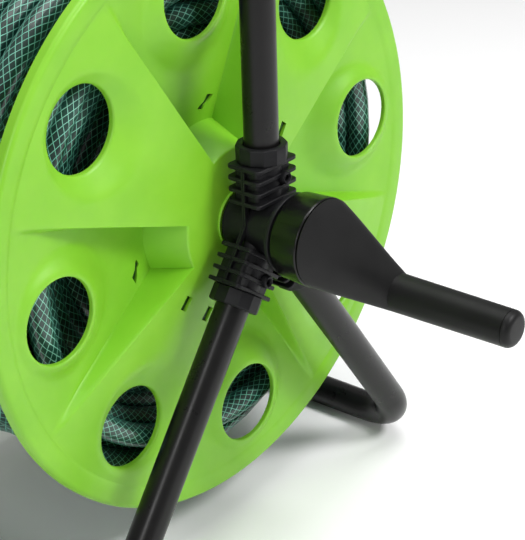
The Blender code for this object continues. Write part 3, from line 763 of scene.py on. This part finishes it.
def flanges():
    points, faces = flange_surface()
    sheet = mesh_of("flange_sheet", points, faces)
    bm = bmesh.new()
    bm.from_mesh(sheet)
    hub_face = min(bm.faces, key=lambda f: Vector((0, *f.calc_center_median().yz)).length)
    if hub_face.normal.x < 0:
        bmesh.ops.reverse_faces(bm, faces=bm.faces)
    bm.to_mesh(sheet)
    bm.free()
    obj = hidden("flange_sheet", sheet)
    shell = obj.modifiers.new("wall", "SOLIDIFY")
    shell.thickness = FLANGE_T
    shell.offset = -1
    bpy.context.view_layer.update()
    solid = bpy.data.meshes.new_from_object(obj.evaluated_get(bpy.context.evaluated_depsgraph_get()))
    bpy.data.objects.remove(obj, do_unlink=True)
    near = combine(solid, ("DIFFERENCE", clip_slots()))
    near.set_sharp_from_angle(angle=math.radians(26))
    near.name = "near_flange_detail"
    far = near.copy()
    far.name = "far_flange_detail"
    far.transform(Matrix(((-1, 0, 0, -REEL_WIDTH), (0, 1, 0, 0), (0, 0, 1, 0), (0, 0, 0, 1))))
    far.flip_normals()
    put("near_flange_detail", near, LIME, "reel", "lime_plastic", "near_flange")
    put("far_flange_detail", far, LIME, "reel", "lime_plastic", "far_flange")


flanges()


# ---------------------------------------------------------------- tubes and handle sleeve
def leg_foot(forward):
    return Vector((0, forward * LEG_SPREAD, TUBE_FLAT - HUB.z))


def tubes():
    near, far = Vector((CLAMP_X, 0, 0)), Vector((side_x(-1, CLAMP_X), 0, 0))
    for name, forward in (("front_leg_tube", -1), ("rear_leg_tube", 1)):
        foot = leg_foot(forward)
        down = foot.normalized()
        path = rounded_path([near + down * TUBE_START, near + foot, far + foot,
                             far + down * TUBE_START], LEG_BEND_R)
        mesh = join(name + "_detail", [sweep(path, TUBE_R, 32)])
        put(name + "_detail", mesh, PAINT, "stand", "painted_tube", name)
    path = rounded_path([near + Vector((0, 0, TUBE_START)), near + Vector((0, 0, HANDLE_RISE)),
                         far + Vector((0, 0, HANDLE_RISE)), far + Vector((0, 0, TUBE_START))],
                        HANDLE_BEND_R)
    put("handle_tube_detail", join("handle_tube_detail", [sweep(path, TUBE_R, 32)]), PAINT, "stand",
        "painted_tube", "handle_tube")


def handle_sleeve():
    """Ribbed rubber sleeve on the handle's top bar."""
    middle = -REEL_WIDTH / 2
    half, bore = 0.056, TUBE_R + 2 * GAP
    profile = [(-half, bore), (-half, 0.0134), (-half + 0.0006, 0.0142), (-half + 0.0020, 0.0149),
               (-half + 0.0050, 0.0150)]
    pitch, grooves = 0.0058, 16
    start = -pitch * grooves / 2
    for i in range(grooves):
        s = start + i * pitch
        profile += [(s + 0.0006, 0.0150), (s + 0.0012, 0.0143), (s + 0.0022, 0.0143), (s + 0.0028, 0.0150),
                    (s + 0.0048, 0.0151)]
    profile += [(half - 0.0050, 0.0150), (half - 0.0020, 0.0149), (half - 0.0006, 0.0142),
                (half, 0.0134), (half, bore)]
    solid = lathe_x([(middle + s, r) for s, r in profile], (0.0, HANDLE_RISE), 48, closed=True)
    put("handle_sleeve", join("handle_sleeve", [solid], 35), RUBBER, "stand", "grip_rubber",
        "handle_grip")


tubes()
handle_sleeve()


# ---------------------------------------------------------------- brackets
LEAN = leg_foot(1).angle(Vector((0, 0, -1)))
TURNS = {"upright": Matrix.Identity(4), "front": Matrix.Rotation(math.pi - LEAN, 4, "X"),
         "rear": Matrix.Rotation(math.pi + LEAN, 4, "X")}
ACROSS = {"upright": 1, "front": -1, "rear": 1}


def disc(start, end, r, sides=40, edge=0.0004):
    """A cylinder between two points with softened ends."""
    start, end = Vector(start), Vector(end)
    length = (end - start).length
    profile = [(0, r - edge), (edge, r), (length - edge, r), (length, r - edge)]
    return lathe_along(profile, start, end - start, sides)


def wall_strip(middle, path, depth, width):
    """A thin upright web in the parting plane, along (y, z) points, reaching depth inwards."""
    rings = []
    for x in (middle - width / 2, middle + width / 2):
        inner = [(y * (1 - depth / math.hypot(y, z)), z * (1 - depth / math.hypot(y, z)))
                 for y, z in reversed(path)]
        rings.append([Vector((x, y, z)) for y, z in [*path, *inner]])
    return skin(rings)


def half_space(middle, way):
    solid = [Vector((middle + way * (GAP / 2 + x), y, z)) for x in (0, 0.1) for y, z in
             ((-0.15, -0.15), (0.15, -0.15), (0.15, 0.15), (-0.15, 0.15))]
    return solid, [(0, 1, 2, 3), (4, 5, 6, 7), (0, 1, 5, 4), (1, 2, 6, 5), (2, 3, 7, 6), (3, 0, 4, 7)]


def bracket(prefix, side):
    """Both halves: four rib plates to a socket, a lipped barrel, parting webs and screw bosses."""
    middle = side_x(side, CLAMP_X)
    x0, x1 = (side_x(side, x) for x in BARREL_X)
    barrel = rounded([(x0, 0.0), (x0, BARREL_R), (x1 - side * 0.0046, BARREL_R),
                      (x1 - side * 0.0030, BARREL_LIP_R), (x1, BARREL_LIP_R), (x1, 0.0)], 0.0006, 3)
    barrel = [(x, max(r, 0.0002)) for x, r in barrel]
    adds = []
    holes = [lathe_along([(0, BUSH_R + GAP), (0.07, BUSH_R + GAP)], (min(x0, x1) - 0.012, 0, 0),
                         (1, 0, 0), 48)]
    face = middle + side * (RIB_HALF[0] + BOSS_PROUD)
    top = RIB_BOTTOMS[-1] + RIB_T
    for socket, turn in TURNS.items():
        adds.append(disc(turn @ Vector((middle, 0, 0.0125)), turn @ Vector((middle, 0, top - 0.0003)),
                         SOCKET_R, 32))
        adds.append(plate(*CORE_HALF, CORE_CORNER, RIB_BOTTOMS[0] + 0.0003, top - 0.0003, 0.0004,
                          turn, middle))
        for bottom in RIB_BOTTOMS:
            adds.append(plate(*RIB_HALF, RIB_CORNER, bottom, bottom + RIB_T, 0.0004, turn, middle))
        y = SCREW_AT[1] * ACROSS[socket]
        boss = [turn @ Vector((middle + side * 0.0075, y, SCREW_AT[0])),
                turn @ Vector((face, y, SCREW_AT[0]))]
        long = (boss[1] - boss[0]).length
        rim = [(0, SCREW_BOSS_R - 0.0005), (0.0005, SCREW_BOSS_R), (long, SCREW_BOSS_R),
               (long + 0.0007, SCREW_BOSS_R - 0.0003), (long + 0.0010, SCREW_BOSS_R - 0.0009),
               (long + 0.0007, SCREW_BOSS_R - 0.0015), (long, SCREW_BOSS_R - 0.0018)]
        adds.append(lathe_along(rim, boss[0], boss[1] - boss[0], 32))
        holes.append(lathe_along([(0, TUBE_R + GAP), (0.04, TUBE_R + GAP)],
                                 turn @ Vector((middle, 0, TUBE_START - 0.0006)),
                                 turn @ Vector((0, 0, 1)), 32))
        holes.append(lathe_along([(0, 0.0021), (0.02, 0.0021)],
                                 turn @ Vector((middle + side * 0.0065, y, SCREW_AT[0])),
                                 (side, 0, 0), 12))
    down = leg_foot(-1).normalized()
    normal = Vector((0, down.z, -down.y))
    near_top, far_end = (down * s + normal * 0.0186 for s in (0.0188, top))
    adds.append(wall_strip(middle, [(-0.0190, top), (-0.0190, 0.0065), (near_top.y, near_top.z),
                                    (far_end.y, far_end.z)], 0.0045, 0.0026))
    adds.append(wall_strip(middle, [(-far_end.y, far_end.z), (-near_top.y, near_top.z),
                                    (0.0190, 0.0065), (0.0190, top)], 0.0045, 0.0026))
    adds.append(wall_strip(middle, [(far_end.y + 0.030, far_end.z - 0.0198), (0.0, -0.0215),
                                    (-far_end.y - 0.030, far_end.z - 0.0198)], 0.0045, 0.0026))
    for half, way in (("outer", side), ("inner", -side)):
        mesh = combine(join("barrel", [lathe_x(barrel, sides=48)]), ("UNION", join("adds", adds)),
                       ("DIFFERENCE", join("holes", holes)),
                       ("INTERSECT", join("half", [half_space(middle, way)])))
        mesh.name = f"{prefix}_bracket_{half}_detail"
        put(mesh.name, mesh, BLACK, "stand", "black_plastic", f"{prefix}_bracket_{half}")


def collar(prefix, side, socket):
    """Twelve-sided collar with a rounded shoulder."""
    middle = side_x(side, CLAMP_X)
    turn = TURNS[socket]
    base, top = COLLAR_SPAN
    half = math.pi / COLLAR_SIDES
    rings = []
    for r, z, sharp in ((0.0158, base, 1), (0.0162, base + 0.0005, 1), (0.0164, top - 0.0014, 1),
                        (0.0162, top - 0.0007, 0.9), (0.0158, top - 0.0002, 0.7), (0.0151, top, 0.4),
                        (0.0124, top, 0), (TUBE_R + 2 * GAP, top - 0.0005, 0),
                        (TUBE_R + 2 * GAP, base, 0)):
        ring = []
        for i in range(72):
            a = i * 2 * math.pi / 72
            off = (a + half) % (2 * half) - half
            flat = math.cos(half) / math.cos(off)
            edge = r * (1 + sharp * (flat - 1))
            ring.append(turn @ Vector((middle + edge * math.cos(a), edge * math.sin(a), z)))
        rings.append(ring)
    name = f"{prefix}_{socket}_collar"
    put(name + "_detail", join(name, [skin(rings, closed=True)], 20), BLACK, "stand", "black_plastic",
        name)


def screw(prefix, side, socket):
    """Grub screw with a six-sided socket, just inside its boss."""
    middle = side_x(side, CLAMP_X)
    place = TURNS[socket] @ Vector((0, SCREW_AT[1] * ACROSS[socket], SCREW_AT[0]))
    tip = middle + side * (math.sqrt(TUBE_R ** 2 - SCREW_AT[1] ** 2) + GAP)
    end = middle + side * (RIB_HALF[0] + 0.0012 - 0.0007)
    centre = (place.y, place.z)
    rings = [ring_x(tip, 0.0011, centre, 24), ring_x(tip + side * 0.0006, 0.0017, centre, 24),
             ring_x(end - side * 0.0003, 0.0019, centre, 24), ring_x(end, 0.0017, centre, 24)]
    for x, size in ((end, 0.0011), (end - side * 0.0014, 0.0011)):
        ring = []
        for i in range(24):
            a = i * 2 * math.pi / 24
            off = a % (math.pi / 3) - math.pi / 6
            r = size * math.cos(math.pi / 6) / math.cos(off)
            ring.append(Vector((x, centre[0] + r * math.cos(a), centre[1] + r * math.sin(a))))
        rings.append(ring)
    name = f"{prefix}_{socket}_screw"
    put(name + "_detail", join(name, [skin(rings)], 30), STEEL, "stand", "zinc_screw", name)


for prefix, side in (("near", 1), ("far", -1)):
    bracket(prefix, side)
    for socket in TURNS:
        collar(prefix, side, socket)
        screw(prefix, side, socket)


# ---------------------------------------------------------------- crank
def crank_hub():
    x0, x1 = CRANK_X
    bore = 0.0095 + GAP
    outer = rounded([(x0, bore), (x0, CRANK_R[0]), (x1, CRANK_R[1]), (x1, bore)], 0.0014, 5)
    solids = [lathe_x(outer, sides=96, closed=True)]
    seam = math.radians(140)
    out = Vector((0, math.cos(seam), math.sin(seam)))
    side = Vector((0, -out.z, out.y))
    bar = [Vector((x, 0, 0)) + out * (r + h) + side * w for x, r in
           ((x0 + 0.0012, CRANK_R[0]), (x1 - 0.0012, CRANK_R[1]))
           for h, w in ((-0.0006, -0.0005), (0.0003, -0.0004), (0.0003, 0.0004), (-0.0006, 0.0005))]
    solids.append((bar, [(0, 1, 2, 3), (4, 5, 6, 7), (0, 1, 5, 4), (1, 2, 6, 5), (2, 3, 7, 6),
                         (3, 0, 4, 7)]))
    put("crank_hub_detail", join("crank_hub_detail", solids, 35), GLOSS, "reel",
        "gloss_black_plastic", "crank_hub")


def crank_arm():
    """Oblique funnel, which eases into the straight grip."""
    x0 = CRANK_X[1] + GAP
    start_r = CRANK_R[1] - 0.0004
    rings = [ring_x(x0, start_r - 0.0012, sides=72), ring_x(x0 + 0.0003, start_r - 0.0003, sides=72),
             ring_x(x0 + 0.0010, start_r, sides=72)]
    steps = 22
    for i in range(1, steps + 1):
        t = i / steps
        x = x0 + 0.0010 + (GRIP_X[0] - x0 - 0.0010) * t
        bend = t + 0.10 * math.sin(math.pi * t) * (t - 0.45)
        r = start_r + (GRIP_R[0] - start_r) * bend
        centre = (GRIP_CENTRE[0] * bend, GRIP_CENTRE[1] * bend)
        rings.append(ring_x(x, r, centre, 72))
    for i in range(1, 9):
        t = i / 8
        rings.append(ring_x(GRIP_X[0] + (GRIP_X[1] - GRIP_X[0]) * t,
                            GRIP_R[0] + (GRIP_R[1] - GRIP_R[0]) * t, GRIP_CENTRE, 72))
    put("crank_arm_detail", join("crank_arm_detail", [skin(rings)], 50), SATIN, "reel",
        "black_plastic", "crank_arm")


def crank_end_cap():
    x0, r = GRIP_X[1] + GAP, GRIP_R[1]
    profile = [(x0, r)]
    bend = 0.0048
    for i in range(11):
        a = math.radians(90 * i / 10)
        profile.append((CAP_END - bend + bend * math.sin(a), r - bend + bend * math.cos(a)))
    profile.append((CAP_END, 0.0006))
    put("crank_end_cap_detail", join("crank_end_cap_detail", [lathe_x(profile, GRIP_CENTRE, 64)], 50),
        SATIN, "reel", "black_plastic", "crank_end_cap")


crank_hub()
crank_arm()
crank_end_cap()


# ---------------------------------------------------------------- water inlet
def inlet():
    """Swivel elbow with a rounded heel, a ribbed collar and a snap nipple."""
    face = side_x(-1, BARREL_X[1] + 0.0012)
    shell = rounded([(face, 0.0099), (face, 0.0160), (face - 0.0085, 0.0160), (face - 0.0105, 0.0145),
                     (INLET_X - 0.0120, 0.0145), (INLET_X - 0.0152, 0.0118), (INLET_X - 0.0164, 0.0060),
                     (INLET_X - 0.0165, 0.0003)], 0.0010, 4)
    shell += [(INLET_X - 0.0030, 0.0003), (INLET_X - 0.0030, 0.0058), (-0.2747, 0.0058), (-0.2747, 0.0099)]
    branch = lathe_along([(0.0, 0.0121), (0.0300, 0.0121), (0.0306, 0.0127), (0.0354, 0.0127),
                          (0.0360, 0.0121)], (INLET_X, 0, 0), (0, 0, -1), 48)
    water = lathe_along([(0.0005, 0.0062), (0.0230, 0.0062), (0.0230, 0.0092), (0.05, 0.0092)],
                        (INLET_X, 0, 0), (0, 0, -1), 32)
    inner = lathe_x([(face + 0.01, 0.0099), (-0.2746, 0.0099), (-0.2746, 0.0058), (INLET_X - 0.0028, 0.0058)],
                    sides=48)
    mesh = combine(join("elbow", [lathe_x(shell, sides=64, closed=True)]), ("UNION", join("b", [branch])),
                   ("DIFFERENCE", join("w", [water])), ("DIFFERENCE", join("i", [inner])))
    mesh.name = "inlet_elbow_detail"
    put(mesh.name, mesh, BLACK, "inlet", "black_plastic", "inlet_elbow")
    bore = 0.0052
    profile = rounded([(0.0236, bore), (0.0236, 0.0088), (0.0364, 0.0088), (0.0364, 0.0125),
                       (0.0425, 0.0125), (0.0432, 0.0078), (0.0530, 0.0078), (0.0545, 0.0092),
                       (0.0580, 0.0092), (0.0595, 0.0080), (0.0625, 0.0080), (0.0625, bore)], 0.0006, 3)
    put("inlet_nipple_detail", join("nipple", [lathe_along(profile, (INLET_X, 0, 0), (0, 0, -1), 48,
                                                           closed=True)], 30),
        BLACK, "inlet", "black_plastic", "inlet_nipple")


inlet()


# ---------------------------------------------------------------- CAD pieces that stay
KEPT = {
    "near_bush": NYLON, "far_bush": NYLON, "drive_spindle": BLACK, "water_spindle": BLACK,
    # the drum halves take the dark green that paints shade into the clip slots
    "outlet_elbow": BLACK, "inlet_seal": RUBBER, "drum_half_1": DRUM_PAINTED_SHADE, "drum_half_2": DRUM_PAINTED_SHADE,
}
for node, mat in KEPT.items():
    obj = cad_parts[node]
    obj.data.materials.clear()
    obj.data.materials.append(mat)


# ---------------------------------------------------------------- floor and light
def floor():
    mesh = bpy.data.meshes.new("floor")
    size = 8.0
    mesh.from_pydata([(-size, -size, -0.0006), (size, -size, -0.0006), (size, size, -0.0006),
                      (-size, size, -0.0006)], [], [(0, 1, 2, 3)])
    obj = bpy.data.objects.new("floor", mesh)
    bpy.context.scene.collection.objects.link(obj)
    n = Nodes("studio_floor")
    coord = n.put("ShaderNodeTexCoord").outputs["Object"]
    tone = n.remap(n.noise(coord, 1.2), 0.3, 0.7, 0.0, 1.0)
    n.out("Base Color", n.mix(tone, (0.965, 0.965, 0.965, 1), (0.98, 0.98, 0.98, 1)))
    n.out("Roughness", 0.85)
    n.out("Specular IOR Level", 0.1)
    mesh.materials.append(n.mat)


def light(name, place, target, size, power):
    data = bpy.data.lights.new(name, "AREA")
    data.shape = "RECTANGLE"
    data.size, data.size_y = size
    data.energy = power
    obj = bpy.data.objects.new(name, data)
    bpy.context.scene.collection.objects.link(obj)
    obj.location = place
    obj.rotation_euler = (Vector(target) - Vector(place)).to_track_quat("-Z", "Y").to_euler()


def studio():
    world = bpy.data.worlds.new("studio")
    bpy.context.scene.world = world
    world.use_nodes = True
    world.node_tree.nodes["Background"].inputs[0].default_value = (1, 1, 1, 1)
    world.node_tree.nodes["Background"].inputs[1].default_value = 0.30
    middle = (0.0, 0.0, 0.2)
    light("key", (1.5, 0.5, 1.6), middle, (0.6, 0.6), 31)
    light("top", (0.0, 0.1, 1.9), middle, (1.5, 1.5), 25)
    light("side", (0.6, -1.7, 1.0), middle, (0.35, 0.9), 8)


floor()
studio()
